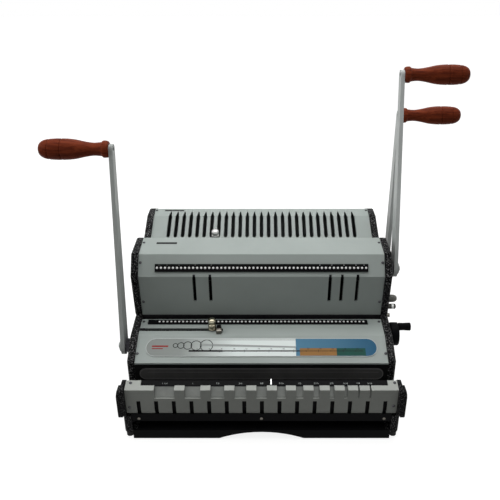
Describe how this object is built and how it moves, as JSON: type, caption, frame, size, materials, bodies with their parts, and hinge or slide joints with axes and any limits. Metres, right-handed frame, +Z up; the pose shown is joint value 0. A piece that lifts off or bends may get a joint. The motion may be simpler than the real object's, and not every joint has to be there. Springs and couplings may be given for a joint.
{
  "type": "coil binding machine",
  "caption": "Desk machine that punches and closes wire and coil bindings, with a wire closer in front, two stacked punches, a slotted ring opener and three long pull levers.",
  "frame": {"origin": "middle of the footprint, on the surface that the machine stands on", "axes": "+X to the right as seen by the user, +Y towards the back, +Z up"},
  "size_m": [0.6646, 0.362, 0.5027],
  "materials": {
    "side_plate": "black wrinkle paint",
    "black_sheet": "satin black paint",
    "cover": "pale grey-green satin paint",
    "dark_steel": "oiled dark steel",
    "bright_steel": "bright plated steel",
    "lever_arm": "grey satin paint",
    "lever_handle": "turned and lacquered, red brown",
    "black_plastic": "moulded black",
    "olive_plastic": "moulded olive grey",
    "brass": "knurled, dull nickel over brass",
    "chrome_knob": "knurled chrome",
    "chart": "printed plate",
    "foot": "moulded rubber"
  },
  "bodies": {
    "frame": {"lower_side_plate_left": "side_plate", "lower_side_plate_right": "side_plate", "upper_side_plate_left": "side_plate", "upper_side_plate_right": "side_plate", "closer_end_cap_left": "side_plate", "closer_end_cap_right": "side_plate", "foot_front_left": "foot", "foot_back_left": "foot", "foot_front_right": "foot", "foot_back_right": "foot", "front_rail": "black_sheet", "base_floor": "black_sheet", "back_panel": "black_sheet", "lower_cover": "cover", "upper_cover": "cover", "rear_cover": "cover", "closer_cover": "cover", "closer_anvil": "bright_steel", "size_strip": "black_sheet", "lower_punch_guide": "dark_steel", "lower_die_plate": "dark_steel", "upper_punch_guide": "dark_steel", "upper_die_plate": "dark_steel", "stop_stud": "bright_steel", "lower_pin_strip": "black_sheet", "upper_pin_strip": "black_sheet", "chart_plate": "chart", "trough_wall": "black_sheet", "closer_base": "black_sheet", "closer_bush_left": "brass", "upper_punch_bush_left": "brass", "lower_punch_bush_left": "brass", "closer_bush_right": "brass", "upper_punch_bush_right": "brass", "lower_punch_bush_right": "brass"},
    "closer_lever": {"closer_shaft": "dark_steel", "closer_lever_arm": "lever_arm", "closer_lever_handle": "lever_handle", "closer_lever_cap": "side_plate"},
    "closing_bar": {"closing_bar": "dark_steel"},
    "upper_punch_lever": {"upper_punch_shaft": "dark_steel", "upper_punch_lever_arm": "lever_arm", "upper_punch_lever_handle": "lever_handle", "upper_punch_lever_cap": "side_plate"},
    "upper_punch_bar": {"upper_punch_bar": "dark_steel"},
    "lower_punch_lever": {"lower_punch_shaft": "dark_steel", "lower_punch_lever_arm": "lever_arm", "lower_punch_lever_handle": "lever_handle", "lower_punch_lever_cap": "side_plate"},
    "lower_punch_bar": {"lower_punch_bar": "dark_steel"},
    "size_crank": {"size_crank": "black_plastic", "crank_peg": "black_plastic"},
    "size_pointer": {"size_pointer": "bright_steel"},
    "depth_knob": {"depth_knob": "olive_plastic"},
    "selector_lever": {"selector_lever": "olive_plastic"},
    "lower_edge_guide": {"lower_edge_guide": "black_sheet"},
    "lower_edge_knob": {"lower_edge_knob": "brass"},
    "upper_edge_guide": {"upper_edge_guide": "bright_steel"},
    "upper_edge_knob": {"upper_edge_knob": "chrome_knob"},
    "chip_drawer": {"chip_drawer": "black_sheet"}
  },
  "joints": [
    {"name": "closer_pull", "type": "hinge", "parent": "frame", "child": "closer_lever", "pos_m": [-0.01, -0.079, 0.0995], "axis": [1, 0, 0], "range_deg": [0, 80]},
    {"name": "closing_slide", "type": "slide", "parent": "frame", "child": "closing_bar", "axis": [0, -1, 0], "range_m": [0, 0.0112]},
    {"name": "upper_punch_pull", "type": "hinge", "parent": "frame", "child": "upper_punch_lever", "pos_m": [-0.01, 0.009, 0.191], "axis": [1, 0, 0], "range_deg": [0, 75]},
    {"name": "upper_punch_slide", "type": "slide", "parent": "frame", "child": "upper_punch_bar", "axis": [0, 1, 0], "range_m": [0, 0.0118]},
    {"name": "lower_punch_pull", "type": "hinge", "parent": "frame", "child": "lower_punch_lever", "pos_m": [-0.01, 0.144, 0.1], "axis": [1, 0, 0], "range_deg": [0, 75]},
    {"name": "lower_punch_slide", "type": "slide", "parent": "frame", "child": "lower_punch_bar", "axis": [0, 1, 0], "range_m": [0, 0.0118]},
    {"name": "size_crank_turn", "type": "hinge", "parent": "frame", "child": "size_crank", "pos_m": [0.2, -0.061, 0.109], "axis": [1, 0, 0], "range_deg": [-140, 140]},
    {"name": "size_pointer_slide", "type": "slide", "parent": "frame", "child": "size_pointer", "axis": [1, 0, 0], "range_m": [-0.074, 0.074]},
    {"name": "depth_knob_turn", "type": "hinge", "parent": "frame", "child": "depth_knob", "pos_m": [0.2, -0.014, 0.147], "axis": [1, 0, 0], "range_deg": [-150, 150]},
    {"name": "selector_turn", "type": "hinge", "parent": "frame", "child": "selector_lever", "pos_m": [0.2, -0.021, 0.136], "axis": [1, 0, 0], "range_deg": [-60, 0]},
    {"name": "lower_edge_slide", "type": "slide", "parent": "frame", "child": "lower_edge_guide", "axis": [-1, 0, 0], "range_m": [0, 0.1]},
    {"name": "lower_edge_clamp", "type": "hinge", "parent": "lower_edge_guide", "child": "lower_edge_knob", "pos_m": [-0.088, -0.069, 0.13], "axis": [0, 0, 1], "range_deg": [0, 270]},
    {"name": "upper_edge_slide", "type": "slide", "parent": "frame", "child": "upper_edge_guide", "axis": [-1, 0, 0], "range_m": [0, 0.1]},
    {"name": "upper_edge_clamp", "type": "hinge", "parent": "upper_edge_guide", "child": "upper_edge_knob", "pos_m": [-0.0865, 0.036, 0.235], "axis": [0, 0, 1], "range_deg": [0, 270]},
    {"name": "chip_drawer_pull", "type": "slide", "parent": "frame", "child": "chip_drawer", "axis": [0, -1, 0], "range_m": [0, 0.19]}
  ],
  "couplings": [
    {"joint": "closing_slide", "follows": "closer_pull", "m_per_rad": 0.008},
    {"joint": "upper_punch_slide", "follows": "upper_punch_pull", "m_per_rad": 0.009},
    {"joint": "lower_punch_slide", "follows": "lower_punch_pull", "m_per_rad": 0.009},
    {"joint": "size_pointer_slide", "follows": "size_crank_turn", "m_per_rad": 0.03}
  ]
}
